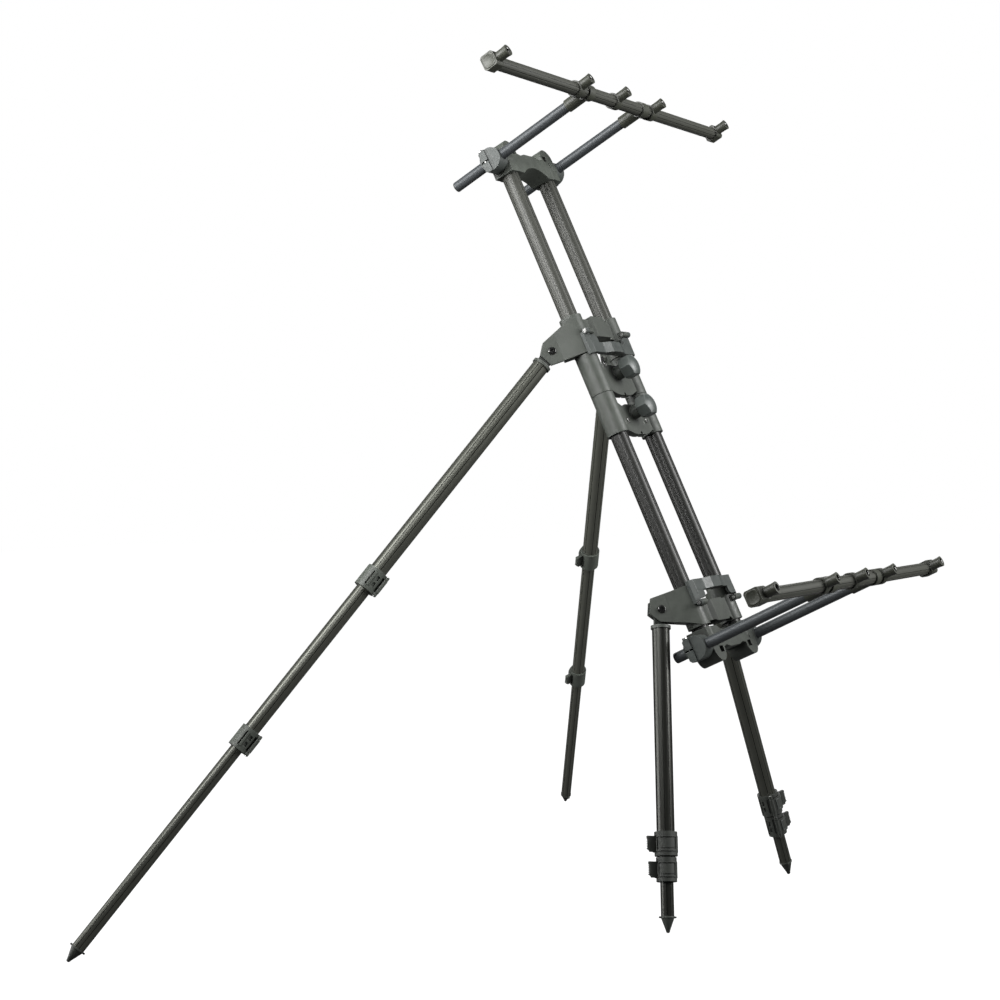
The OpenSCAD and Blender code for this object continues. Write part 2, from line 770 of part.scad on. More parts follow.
// A tube from one distance along the leg to another
module leg_tube(d, from, to) {
    color(gunmetal) translate([0, 0, -to]) fluted_tube(d, leg_wall, to - from);
}

// Where the tube that carries a lock ends, inside its collar
function lock_tube_end(lock) = lock + lock_len / 2 - lock_lip;

function lock_d(tube_d) = tube_d + 2 * (fixed_gap + lock_wall);
function waist_d(tube_d) = tube_d + 2 * (fixed_gap + waist_wall);
function lock_pin_r(tube_d) = waist_d(tube_d) / 2 + face_gap + fixed_gap + lock_eye_d / 2;
lock_pin_turn = 168;
lock_wrap = 110;

module at_lock_pin(tube_d) {
    rotate(lock_pin_turn) translate([lock_pin_r(tube_d), 0]) children();
}

// A slice of the plane between two angles less than 180 degrees apart
module slice(from, to, reach) {
    mid = (from + to) / 2;
    polygon([[0, 0], reach * [cos(from), sin(from)], 2 * reach * [cos(mid), sin(mid)],
             reach * [cos(to), sin(to)]]);
}

// A split collar with a waist for its lever and two ears that hold the lever's pin
module lock_collar(tube_d, next_d) {
    slot_w = 1.8;
    slot_turn = 84;
    rib_turn = 96;
    pocket = [2, 4, 6];
    pocket_turn = 122;
    ear_d = lock_eye_d - 0.8;
    between = lock_len - 2 * ring_len;
    color(moulding) difference() {
        union() {
            translate([0, 0, -lock_len / 2]) cylinder(d = lock_d(tube_d), h = lock_len);
            for (z = [-lock_len / 2, lock_len / 2 - ring_len])
                translate([0, 0, z]) linear_extrude(ring_len) {
                    at_lock_pin(tube_d) circle(d = ear_d);
                    rotate(lock_pin_turn) translate([0, -ear_d / 2]) square([lock_pin_r(tube_d), ear_d]);
                }
            translate([0, 0, -between / 2]) linear_extrude(between) rotate(rib_turn)
                translate([0, -1.2]) square([lock_d(tube_d) / 2 + 1, 2.4]);
        }
        translate([0, 0, -between / 2]) linear_extrude(between) difference() {
            slice(lock_pin_turn - 24, lock_pin_turn + lock_wrap + 16, 2 * tube_d);
            circle(d = waist_d(tube_d));
        }
        translate([0, 0, lock_lip - lock_len / 2])
            cylinder(d = tube_d + 2 * fixed_gap, h = lock_len);
        translate([0, 0, -lock_len]) cylinder(d = next_d + 2 * slide_gap, h = 2 * lock_len);
        translate([0, 0, -between / 2]) linear_extrude(between) rotate(slot_turn)
            translate([tube_d / 4, -slot_w / 2]) square([tube_d, slot_w]);
        for (z = [-1, 1]) rotate(pocket_turn)
            translate([lock_d(tube_d) / 2 - 1.4, -pocket[1] / 2, z * 4.5 - pocket[2] / 2]) cube(pocket);
        translate([0, 0, -lock_len]) linear_extrude(2 * lock_len)
            at_lock_pin(tube_d) circle(d = lock_pin_d + 2 * turn_gap);
    }
}

// A lever that wraps round its collar's waist to a ribbed thumb tab, with its own pin
module lock_lever(tube_d) {
    height = lock_len - 2 * (ring_len + face_gap);
    skin = waist_d(tube_d) / 2 + face_gap;
    tab_r = tube_d / 2 + tab_out;
    tab_turn = lock_pin_turn + lock_wrap;
    ribs = 6;
    rib_w = 1.2;
    rib_depth = 1;
    notch_r = 3;
    color(lever_grey) {
        difference() {
            translate([0, 0, -height / 2]) linear_extrude(height) difference() {
                union() {
                    at_lock_pin(tube_d) circle(d = lock_eye_d);
                    intersection() {
                        circle(r = skin + blade_thick);
                        slice(lock_pin_turn + 5, tab_turn - 3, 2 * tube_d);
                    }
                    rotate(tab_turn) translate([skin - past, -tab_thick])
                        square([tab_r - skin + past, tab_thick]);
                }
                circle(r = skin);
            }
            rotate(tab_turn) {
                translate([tab_r, -tab_thick - past, -height / 2]) along_y(tab_thick + 2 * past, 2 * notch_r);
                for (rib = [1:ribs])
                    translate([tab_r - rib_depth, -tab_thick - past, notch_r - height / 2 + rib * 2 - rib_w / 2])
                        cube([2 * rib_depth, tab_thick + 2 * past, rib_w]);
            }
        }
        translate([0, 0, -lock_len / 2]) linear_extrude(lock_len)
            at_lock_pin(tube_d) circle(d = lock_pin_d);
    }
}

// The foot: a cone with a rounded tip, a flange with two nubs and a plug in the tube
module spike() {
    flange_d = inner_leg_d + 1.2;
    flange = 2;
    nub = [inner_leg_d + 5, 3.5, 2];
    plug_len = 16;
    color(moulding) {
        sphere(r = spike_tip_r);
        cylinder(r1 = spike_tip_r * 0.97, d2 = inner_leg_d, h = spike_len - flange + eps);
        translate([0, 0, spike_len - flange]) {
            cylinder(d = flange_d, h = flange);
            translate([-nub[0] / 2, -nub[1] / 2, 0]) cube(nub);
            translate([0, 0, flange - eps])
                cylinder(d = inner_leg_d - 2 * (leg_wall + fixed_gap), h = plug_len);
        }
    }
}

module leg_piece(name, pair, lock_turn) {
    if (name == "leg_top") leg_top();
    if (name == "outer_tube") leg_tube(outer_leg_d, tube_start, lock_tube_end(pair[3]));
    if (name == "middle_tube")
        leg_tube(middle_leg_d, lock_tube_end(pair[4]) - pair[5], lock_tube_end(pair[4]));
    if (name == "inner_tube") leg_tube(inner_leg_d, inner_end(pair) - pair[6], inner_end(pair));
    if (name == "spike") translate([0, 0, -leg_len(pair)]) spike();
    rotate(lock_turn) {
        if (name == "upper_lock") translate([0, 0, -pair[3]]) lock_collar(outer_leg_d, middle_leg_d);
        if (name == "upper_lever") translate([0, 0, -pair[3]]) lock_lever(outer_leg_d);
        if (name == "lower_lock") translate([0, 0, -pair[4]]) lock_collar(middle_leg_d, inner_leg_d);
        if (name == "lower_lever") translate([0, 0, -pair[4]]) lock_lever(middle_leg_d);
    }
}

module leg(leg_name, pair, side, lock_turn) {
    for (piece = ["leg_top", "outer_tube", "upper_lock", "upper_lever", "middle_tube",
                  "lower_lock", "lower_lever", "inner_tube", "spike"])
        on_leg(pair, side) leg_piece(piece, pair, lock_turn);
}

lower_spine_tubes();
upper_spine_tubes();
inner_spine_tubes();
sleeve(join - sleeve_len, 16);  // lower_sleeve
sleeve(upper_foot, sleeve_len - 16);  // upper_sleeve
knob(join - sleeve_len);  // lower_knob
knob(upper_foot);  // upper_knob
bracket(FRONT, false);  // front_bracket
bracket(REAR, true);  // rear_bracket
clamp_lever(FRONT, false);  // front_clamp_lever
clamp_lever(REAR, true);  // rear_clamp_lever
bracket_bolts(FRONT, false);  // front_bracket_bolts
bracket_bolts(REAR, true);  // rear_bracket_bolts
crosshead(true);  // upper_crosshead
crosshead(false);  // lower_crosshead
knuckles(true);  // upper_knuckles
knuckles(false);  // lower_knuckles
arms(true);  // upper_arms
arms(false);  // lower_arms
bar(true);  // upper_bar
bar(false);  // lower_bar
bar_fittings(true);  // upper_bar_fittings
bar_fittings(false);  // lower_bar_fittings
leg("front_left", FRONT_LEFT, 1, 0);
leg("front_right", FRONT, -1, 0);
leg("rear_left", REAR, 1, 90);
leg("rear_right", REAR, -1, 180);
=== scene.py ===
# Rod pod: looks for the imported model, in metres, in the model's own frame.
import json
import math

import bmesh
import bpy
from mathutils import Matrix, Vector


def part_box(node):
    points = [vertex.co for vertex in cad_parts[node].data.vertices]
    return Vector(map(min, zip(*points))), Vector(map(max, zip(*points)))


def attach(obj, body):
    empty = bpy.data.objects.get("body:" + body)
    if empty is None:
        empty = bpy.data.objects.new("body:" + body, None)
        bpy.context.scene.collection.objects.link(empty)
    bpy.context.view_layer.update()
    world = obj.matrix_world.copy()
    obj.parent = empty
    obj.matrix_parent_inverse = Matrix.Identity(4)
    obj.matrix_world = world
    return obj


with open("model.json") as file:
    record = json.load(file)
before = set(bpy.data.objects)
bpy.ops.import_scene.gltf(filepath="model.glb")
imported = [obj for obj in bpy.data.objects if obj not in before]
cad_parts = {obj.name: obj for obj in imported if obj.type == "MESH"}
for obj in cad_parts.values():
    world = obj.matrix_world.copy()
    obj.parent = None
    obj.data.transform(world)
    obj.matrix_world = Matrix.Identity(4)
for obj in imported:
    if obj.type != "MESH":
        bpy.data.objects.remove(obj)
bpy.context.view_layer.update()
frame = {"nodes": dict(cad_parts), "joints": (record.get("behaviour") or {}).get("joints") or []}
nodes = frame["nodes"]
joints = {j["name"]: j for j in frame["joints"]}

MM = 0.001
SIDES = (-1, 1)
RESTS = ("upper", "lower")
LEGS = ("front_left", "front_right", "rear_left", "rear_right")
# The rear bracket is the front one turned upside down
PAIR_TURNS = {"front": 1, "rear": -1}

# Sizes shared with the model, in millimetres
TUBE_Y = 48
ARM_Y = 74
EAR_HALF = 6.5
EAR_REACH = 41.2
BRACKET_TOP = 36
SLEEVE_WEB_FACE = -9
SLEEVE_SCREW_Y = 25
SLEEVE_SCREW_STATIONS = {"base": 309, "upper_spine": 389.6}
KNUCKLE_SCREW_X = 8
KNUCKLE_SCREW_Y = 84
HUB_R = 15.5
ARM_D = 14
ARM_TAILS = {"upper": 66, "lower": 33}
REACH = {"upper": 157, "lower": 190}
SOCKETS = {"upper": (0, 100, -100, 301, -301), "lower": (0, 97, -97, 277, -277)}
SOCKET_TIP = 24.5
SOCKET_R = 4.2
LEG_D = 22
MIDDLE_D = 19
LOCK_LEN = 29
# How far a lock collar's face and its lever's inner face stand off the tube
LOCK_FACE = 3
LEVER_BACK = 2.2
LEVER_THICK = 3
# Angle in degrees from each quarter of a tube to the flutes on both sides of it
FLUTE_TURN = 17


# Places

def mat_from(x, y, z, origin):
    """A frame from three directions and a point."""
    m = Matrix((x, y, z)).transposed().to_4x4()
    m.translation = origin
    return m


SIDE = Vector((0, 1, 0))
SPINE_UP = Vector(joints["spine_extension"]["axis"])
SPINE_OUT = SIDE.cross(SPINE_UP)
LOWER_AXIS = Vector(joints["lower_rest_tilt"]["pos_m"])
SPINE = mat_from(SPINE_OUT, SIDE, SPINE_UP, LOWER_AXIS)


def rest_frame(name):
    """A rest's frame: origin on its tilt axis, bar towards -X."""
    out = -Vector(joints[name + "_rest_slide"]["axis"])
    return mat_from(out, SIDE, out.cross(SIDE), Vector(joints[name + "_rest_tilt"]["pos_m"]))


def leg_hinge(leg):
    """The direction and the place of a leg's pivot."""
    swing = joints[leg + "_leg_swing"]
    return -Vector(swing["axis"]), Vector(swing["pos_m"])


def leg_frame(leg):
    """A leg's frame: origin on its pivot, leg along -Z, hinge along Y."""
    up = -Vector(joints[leg + "_middle_slide"]["axis"])
    hinge, pivot = leg_hinge(leg)
    return mat_from(hinge.cross(up), hinge, up, pivot)


def lock_frame(leg, which):
    """A lock's frame, on its tube's axis with X towards the lever's pin, and the pin's X in millimetres."""
    turn = joints[leg + "_" + which + "_lever_turn"]
    up = -Vector(turn["axis"])
    pin = Vector(turn["pos_m"])
    _, pivot = leg_hinge(leg)
    centre = pivot + up * (pin - pivot).dot(up)
    out = (pin - centre).normalized()
    return mat_from(out, up.cross(out), up, centre), (pin - centre).length / MM


def pair_and_side(leg):
    """A leg's pair, front or rear, and its side, 1 on the left and -1 on the right."""
    return leg.split("_")[0], 1 if leg.endswith("left") else -1


def facing(direction):
    """A turn that points Z along a direction."""
    return Vector(direction).to_track_quat("Z", "Y").to_matrix().to_4x4()


# Shader nodes

# The Mix node's sockets for colours
MIX_FACTOR = 0
MIX_A = 6
MIX_B = 7
MIX_RESULT = 2


def new_material(name):
    """A material with its node tree and its main shader."""
    m = bpy.data.materials.new(name)
    m.use_nodes = True
    tree = m.node_tree
    return m, tree, tree.nodes["Principled BSDF"]


def add_node(tree, kind, **values):
    """Adds a node, with each value on the input or the setting of that name."""
    n = tree.nodes.new(kind)
    for key, value in values.items():
        if key in n.inputs:
            n.inputs[key].default_value = value
        else:
            setattr(n, key, value)
    return n


def object_place(tree):
    """Places in the object's own space."""
    return add_node(tree, "ShaderNodeTexCoord").outputs["Object"]


def noise(tree, vector, scale, detail=3.0, rough=0.55):
    """Noise of about 0.3 to 0.7 at a scale."""
    n = add_node(tree, "ShaderNodeTexNoise", Scale=scale, Detail=detail, Roughness=rough)
    tree.links.new(vector, n.inputs["Vector"])
    return n.outputs["Fac"]


def remap(tree, value, low, high, start=0.3, end=0.7):
    """Carries a value that runs from start to end over to low and high."""
    n = add_node(tree, "ShaderNodeMapRange")
    n.inputs["From Min"].default_value = start
    n.inputs["From Max"].default_value = end
    n.inputs["To Min"].default_value = low
    n.inputs["To Max"].default_value = high
    tree.links.new(value, n.inputs["Value"])
    return n.outputs["Result"]


def maths(tree, operation, *values):
    """A sum on numbers and other nodes' outputs."""
    n = add_node(tree, "ShaderNodeMath", operation=operation)
    for socket, value in zip(n.inputs, values):
        if isinstance(value, (int, float)):
            socket.default_value = value
        else:
            tree.links.new(value, socket)
    return n.outputs["Value"]


def mix_colour(tree, factor, a, b):
    """Goes from colour a to colour b, each a tuple or another node's output."""
    n = add_node(tree, "ShaderNodeMix", data_type="RGBA")
    tree.links.new(factor, n.inputs[MIX_FACTOR])
    for socket, colour in ((n.inputs[MIX_A], a), (n.inputs[MIX_B], b)):
        if isinstance(colour, tuple):
            socket.default_value = (*colour, 1)
        else:
            tree.links.new(colour, socket)
    return n.outputs[MIX_RESULT]


def bump(tree, height, strength, distance, normal=None):
    """Normals from a height, whose full depth is a distance in millimetres."""
    n = add_node(tree, "ShaderNodeBump", Strength=strength, Distance=distance * MM)
    tree.links.new(height, n.inputs["Height"])
    if normal is not None:
        tree.links.new(normal, n.inputs["Normal"])
    return n.outputs["Normal"]


def shade(colour, factor):
    """A colour made darker or lighter."""
    return tuple(c * factor for c in colour)


def vary(tree, value, colour, dark, light):
    """A colour that goes from a darker to a lighter shade with a noise."""
    return mix_colour(tree, remap(tree, value, 0, 1), shade(colour, dark), shade(colour, light))


def vary_roughness(tree, surface, value, rough, less, more):
    """Roughness that goes from a little less to a little more with a noise."""
    tree.links.new(remap(tree, value, rough - less, rough + more), surface.inputs["Roughness"])


# Materials

# Samples for rounded edges and for the painted shade in crevices
EDGE_SAMPLES = 6
# Cosines of the turn at an edge, where its mask of rubbed wear and painted highlight is full and where it
# ends
EDGE_TURN = (0.86, 0.995)
# Round edges lightened, partly as rubbed wear and partly as a painted highlight: its share and its shade
EDGE_RUB_AND_HIGHLIGHT_SHARE = 0.45
EDGE_RUB_AND_HIGHLIGHT = 2.2
# Painted shade in crevices: how far it reaches, where its mask runs from full shade to none, and its shade
CREVICE_REACH = 28
CREVICE_OPEN = (0.25, 0.95)
PAINTED_CREVICE_SHADE = 0.22
# How far the drawn streaks are stretched along a tube
STREAK_STRETCH = 120
# Dull clouds on the tubes: how strong they are at most, and their shade
CLOUD_SHARE = 0.3
CLOUD_SHADE = 0.75
# Degrees from a flute's middle, where the painted shade on its floor fades and where the painted highlight
# on its rim fades
FLUTE_FLOOR_SHADE = (2.4, 4.2)
FLUTE_RIM_HIGHLIGHT = (5, 7.5)
# Painted shade in the flutes, and a painted highlight on their rims: its share and its shade
FLUTE_PAINTED_SHADE = 0.22
RIM_HIGHLIGHT_SHARE = 0.6
RIM_PAINTED_HIGHLIGHT = 1.9


def rounded(tree, radius):
    """Normals that round off edges, by a radius in millimetres, and a mask of those edges."""
    soft = add_node(tree, "ShaderNodeBevel", samples=EDGE_SAMPLES, Radius=radius * MM).outputs["Normal"]
    flat = add_node(tree, "ShaderNodeNewGeometry").outputs["Normal"]
    both = add_node(tree, "ShaderNodeVectorMath", operation="DOT_PRODUCT")
    tree.links.new(soft, both.inputs[0])
    tree.links.new(flat, both.inputs[1])
    return soft, remap(tree, both.outputs["Value"], 1, 0, *EDGE_TURN)


def painted_crevice_shade_mask(tree):
    """A mask for painted shade, 0 in crevices, where the shade is painted, and 1 in the open."""
    reach = CREVICE_REACH * MM
    air = add_node(tree, "ShaderNodeAmbientOcclusion", samples=EDGE_SAMPLES, Distance=reach)
    return remap(tree, air.outputs["AO"], 0, 1, *CREVICE_OPEN)


def moulded(name, colour, rough=0.5, grain=0.25, edge=0.8):
    """Moulded plastic: fine spark-erosion grain, clouding, round edges lightened as rubbed wear and a
    painted highlight, and painted shade in crevices.
    """
    m, tree, surface = new_material(name)
    where = object_place(tree)
    cloud = noise(tree, where, scale=55, detail=4)
    fine = noise(tree, where, scale=2600, detail=2, rough=0.6)
    patches = noise(tree, where, scale=210)
    soft, corner = rounded(tree, edge)
    # Mask of edges lightened, partly as rubbed wear and partly as a painted highlight
    rubbed_and_lit = remap(tree, corner, 0, EDGE_RUB_AND_HIGHLIGHT_SHARE, start=0, end=1)
    base = vary(tree, cloud, colour, dark=0.86, light=1.14)
    base = mix_colour(tree, rubbed_and_lit, base, shade(colour, EDGE_RUB_AND_HIGHLIGHT))
    # Painted shade: darker in crevices
    base = mix_colour(tree, painted_crevice_shade_mask(tree), shade(colour, PAINTED_CREVICE_SHADE), base)
    tree.links.new(base, surface.inputs["Base Color"])
    vary_roughness(tree, surface, patches, rough, less=0.07, more=0.09)
    tree.links.new(bump(tree, fine, grain, distance=0.12, normal=soft), surface.inputs["Normal"])
    surface.inputs["Specular IOR Level"].default_value = 0.5
    return m


def tube_place(tree, where, place):
    """Places in a tube's own frame, drawn out along its Z."""
    local = add_node(tree, "ShaderNodeMapping", vector_type="TEXTURE")
    local.inputs["Location"].default_value = place.translation
    local.inputs["Rotation"].default_value = place.to_euler()
    local.inputs["Scale"].default_value = (1, 1, STREAK_STRETCH)
    tree.links.new(where, local.inputs["Vector"])
    return local.outputs["Vector"]


def flute_masks(tree, local, apart, turned):
    """Masks of a tube's lands, against the painted shade in its flutes, and of its flutes' rims, for a
    painted highlight; a pair of tubes stands apart on both sides of Z.
    """
    split = add_node(tree, "ShaderNodeSeparateXYZ")
    tree.links.new(local, split.inputs[0])
    across = split.outputs["Y"]
    if apart:
        across = maths(tree, "SUBTRACT", maths(tree, "ABSOLUTE", across), apart * MM)
    angle = maths(tree, "ADD", maths(tree, "ARCTAN2", across, split.outputs["X"]), math.radians(turned))
    quarter = maths(tree, "PINGPONG", angle, math.radians(45))
    off_flute = maths(tree, "ABSOLUTE", maths(tree, "SUBTRACT", quarter, math.radians(FLUTE_TURN)))
    land = remap(tree, off_flute, 0, 1, *map(math.radians, FLUTE_FLOOR_SHADE))
    rim = remap(tree, off_flute, RIM_HIGHLIGHT_SHARE, 0, *map(math.radians, FLUTE_RIM_HIGHLIGHT))
    return land, rim


def anodised(name, colour, place, apart=0, rough=0.42, metal=0.15, fluted=True, turned=0):
    """Dark anodised tube along its frame's Z: fine streaks, a satin sheen, painted shade in the flutes and
    a painted highlight on their rims.
    """
    m, tree, surface = new_material(name)
    where = object_place(tree)
    local = tube_place(tree, where, place)
    drawn = noise(tree, local, scale=300, detail=1.5, rough=0.5)
    cloud = noise(tree, where, scale=38, detail=4)
    base = vary(tree, drawn, colour, dark=0.93, light=1.07)
    base = mix_colour(tree, remap(tree, cloud, 0, CLOUD_SHARE), base, shade(colour, CLOUD_SHADE))
    if fluted:
        land, rim = flute_masks(tree, local, apart, turned)
        # Painted highlight on the flutes' rims, then painted shade in the flutes
        base = mix_colour(tree, rim, base, shade(colour, RIM_PAINTED_HIGHLIGHT))
        base = mix_colour(tree, land, shade(colour, FLUTE_PAINTED_SHADE), base)
    tree.links.new(base, surface.inputs["Base Color"])
    vary_roughness(tree, surface, drawn, rough, less=0.025, more=0.025)
    tree.links.new(bump(tree, drawn, strength=0.01, distance=0.04), surface.inputs["Normal"])
    surface.inputs["Metallic"].default_value = metal
    return m


def steel(name, colour, rough):
    """Turned steel with faint scratches."""
    m, tree, surface = new_material(name)
    scratch = noise(tree, object_place(tree), scale=1800, detail=4, rough=0.7)
    base = vary(tree, scratch, colour, dark=0.82, light=1.1)
    tree.links.new(base, surface.inputs["Base Color"])
    vary_roughness(tree, surface, scratch, rough, less=0.06, more=0.08)
    tree.links.new(bump(tree, scratch, strength=0.08, distance=0.05), surface.inputs["Normal"])
    surface.inputs["Metallic"].default_value = 1
    return m


GUNMETAL = (0.05, 0.0515, 0.0435)
ARM_GREY = (0.06, 0.066, 0.07)
MOULDING = (0.05, 0.056, 0.0475)
LEVER = (0.05, 0.057, 0.053)
CAP = (0.04, 0.0425, 0.032)
DARK_STEEL = (0.12, 0.12, 0.117)
BRIGHT_STEEL = (0.8, 0.8, 0.78)
# Painted light and shade: each leg's lighter or darker copy of the gunmetal, set by how the light falls on
# it
LEG_LIGHT_AND_SHADE = {"front_left": 1.9, "front_right": 2.6, "rear_left": 0.5, "rear_right": 1.3}

moulding = moulded("moulded_grey", MOULDING)
# Lit and shaded copies of the moulding: the front locks lighter, as painted light, the rear locks darker,
# as painted shade
front_lock_lit_plastic = moulded("front_lock_painted_light", shade(MOULDING, 1.5), edge=0.45)
rear_lock_shaded_plastic = moulded("rear_lock_painted_shade", shade(MOULDING, 0.55), rough=0.6, edge=0.45)
# A lit copy of the moulding for the upper crosshead: lighter than the lower crosshead, as painted light
upper_crosshead_lit_plastic = moulded("upper_crosshead_painted_light", shade(MOULDING, 1.3))
lever_plastic = moulded("lever_grey", LEVER, rough=0.44, grain=0.18, edge=0.9)
knob_plastic = moulded("knob_grey", shade(LEVER, 1.1), rough=0.4, grain=0.14, edge=1.8)
cap_plastic = moulded("cap_grey", CAP, rough=0.46, grain=0.2)
dark_steel = steel("blackened_steel", DARK_STEEL, rough=0.2)
bright_steel = steel("bright_steel", BRIGHT_STEEL, rough=0.22)
# Lit and shaded copies of one finish: the lower spine tubes are painted far darker than the upper ones, as
# painted shade
lower_spine_shaded_metal = anodised("anodised_lower_spine_shaded", shade(GUNMETAL, 0.25), SPINE, TUBE_Y)
upper_spine_lit_metal = anodised("anodised_upper_spine_lit", shade(GUNMETAL, 0.9), SPINE, TUBE_Y)


# Finishes for the model's own nodes

def dress(material, *names):
    """Gives nodes a material."""
    for name in names:
        o = nodes[name]
        if not o.material_slots:
            o.data.materials.append(material)
        for slot in o.material_slots:
            slot.material = material


def dress_rest(name):
    """Finishes for a rest's arms and bar, each along its own tubes."""
    rest = rest_frame(name)
    along_arms = rest @ Matrix.Rotation(math.radians(90), 4, "Y")
    along_bar = Matrix.Translation((-REACH[name] * MM, 0, 0)) @ Matrix.Rotation(math.radians(-90), 4, "X")
    arm_metal = anodised("anodised_arms_" + name, ARM_GREY, along_arms, rough=0.46, metal=0.3, fluted=False)
    bar_metal = anodised("anodised_bar_" + name, shade(GUNMETAL, 1.2), rest @ along_bar, turned=45)
    dress(arm_metal, name + "_arms")
    dress(bar_metal, name + "_bar")


def dress_leg(leg):
    """Finishes for a leg's top, tubes, locks and spike."""
    # Painted light and shade: this leg's own lit or shaded copy of the gunmetal
    colour = shade(GUNMETAL, LEG_LIGHT_AND_SHADE[leg])
    metal = anodised("anodised_" + leg, colour, leg_frame(leg), rough=0.33, metal=0.55)
    # Painted light and shade: rear locks take the darker copy, front locks the lighter one
    plastic = rear_lock_shaded_plastic if leg.startswith("rear") else front_lock_lit_plastic
    dress(moulding, leg + "_leg_top", leg + "_spike")
    dress(metal, leg + "_outer_tube", leg + "_middle_tube", leg + "_inner_tube")
    for which in ("upper", "lower"):
        dress(plastic, leg + "_" + which + "_lock", leg + "_" + which + "_lever")


dress(lower_spine_shaded_metal, "lower_spine_tubes")
dress(upper_spine_lit_metal, "upper_spine_tubes", "inner_spine_tubes")
dress(moulding, "lower_sleeve", "upper_sleeve", "front_bracket", "rear_bracket", "lower_crosshead")
# Painted light: the upper crosshead is lighter than the lower one
dress(upper_crosshead_lit_plastic, "upper_crosshead")
dress(knob_plastic, "lower_knob", "upper_knob")
dress(lever_plastic, "front_clamp_lever", "rear_clamp_lever", "upper_knuckles", "lower_knuckles")
dress(bright_steel, "front_bracket_bolts", "rear_bracket_bolts")
dress(cap_plastic, "upper_bar_fittings", "lower_bar_fittings")
for rest_name in RESTS:
    dress_rest(rest_name)
for leg_name in LEGS:
    dress_leg(leg_name)


# Mesh builders, in millimetres

# Points closer than this are one
WELD = 1e-5
# Edges that turn by more than this, in degrees, stay sharp
SHARP_TURN = 35
# How far a screw's shank runs up into its head
HEAD_BITE = 0.2


def skin(bm, rows, place=Matrix(), caps=True):
    """Skins a row of rings with equal counts of points, and closes its two ends."""
    rings = [[bm.verts.new(place @ Vector(point)) for point in row] for row in rows]
    for a, b in zip(rings, rings[1:]):
        for i in range(len(a)):
            j = (i + 1) % len(a)
            bm.faces.new((a[i], a[j], b[j], b[i]))
    if caps:
        bm.faces.new(list(reversed(rings[0])))
        bm.faces.new(rings[-1])


def circle(r, z, steps):
    """Points round Z at a height."""
    turns = [2 * math.pi * k / steps for k in range(steps)]
    return [Vector((r * math.cos(a), r * math.sin(a), z)) for a in turns]


def hexagon(r, z, per_edge):
    """Points along a hexagon's edges round Z at a height."""
    corners = circle(r, z, 6)
    points = []
    for p, q in zip(corners, corners[1:] + corners[:1]):
        points += [p.lerp(q, s / per_edge) for s in range(per_edge)]
    return points


def rounded_square(half, corner, z, steps=8):
    """Points round a square with rounded corners at a height."""
    points = []
    for turn in range(4):
        middle = Matrix.Rotation(math.radians(90 * turn), 2) @ Vector((half - corner, half - corner))
        for k in range(steps + 1):
            a = math.radians(90 * turn + 90 * k / steps)
            points.append((middle.x + corner * math.cos(a), middle.y + corner * math.sin(a), z))
    return points


def lathe(bm, profile, place, steps=40, caps=True):
    """Turns a profile of (radius, height) about Z."""
    skin(bm, [circle(r, z, steps) for r, z in profile], place, caps)


def socket_head(bm, place, d, height, key, depth, dome=0.35):
    """A round head along +Z, domed over a share of its height, with a six-sided key hole."""
    per_edge = 6
    r = d / 2
    shoulder = height * (1 - dome)
    # The rim rounds in three steps from below the shoulder to the flat top
    profile = [(r, 0), (r, shoulder * 0.9), (r * 0.965, shoulder)]
    profile += [(r * 0.82, height * 0.95), (r * 0.68, height)]
    rows = [circle(row_r, z, 6 * per_edge) for row_r, z in profile]
    rows += [hexagon(key, z, per_edge) for z in (height, height - depth)]
    skin(bm, rows, place)


def shank(bm, place, r, length):
    """A plain screw shank below a head."""
    lathe(bm, [(r, -length), (r, HEAD_BITE)], place, steps=24)


def arc_block(bm, r0, r1, a0, a1, z0, z1, steps=12):
    """A piece of a ring about Z between two angles, in degrees."""
    rows = []
    for k in range(steps + 1):
        a = math.radians(a0 + (a1 - a0) * k / steps)
        ring = ((r0, z0), (r1, z0), (r1, z1), (r0, z1))
        rows.append([(r * math.cos(a), r * math.sin(a), z) for r, z in ring])
    skin(bm, rows)


def height_at(points, u):
    """Reads a height off a line of (u, height) points."""
    for (u0, h0), (u1, h1) in zip(points, points[1:]):
        if u <= u1:
            return h0 + (h1 - h0) * (u - u0) / (u1 - u0)
    return points[-1][1]


def add_piece(name, bm, place, body, material, sharp_turn=SHARP_TURN):
    """Makes a piece of a mesh in millimetres, puts it in its place and lets it ride on a body."""
    bmesh.ops.remove_doubles(bm, verts=bm.verts, dist=WELD)
    bmesh.ops.recalc_face_normals(bm, faces=bm.faces)
    bmesh.ops.scale(bm, vec=(MM, MM, MM), verts=bm.verts)
    mesh = bpy.data.meshes.new(name)
    bm.to_mesh(mesh)
    bm.free()
    for p in mesh.polygons:
        p.use_smooth = True
    mesh.set_sharp_from_angle(angle=math.radians(sharp_turn))
    mesh.materials.append(material)
    o = bpy.data.objects.new(name, mesh)
    bpy.context.scene.collection.objects.link(o)
    o.matrix_world = place
    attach(o, body)


# Small screws and caps

def web_screws(body):
    """Screws on a joining sleeve's web."""
    bm = bmesh.new()
    for side in SIDES:
        spot = Matrix.Translation((SLEEVE_WEB_FACE, side * SLEEVE_SCREW_Y, SLEEVE_SCREW_STATIONS[body]))
        spot = spot @ facing((-1, 0, 0))
        socket_head(bm, spot, d=6.6, height=2.2, key=1.7, depth=1.4)
        shank(bm, spot, r=1.9, length=7)
    add_piece(body + "_web_screws", bm, SPINE, body, bright_steel)


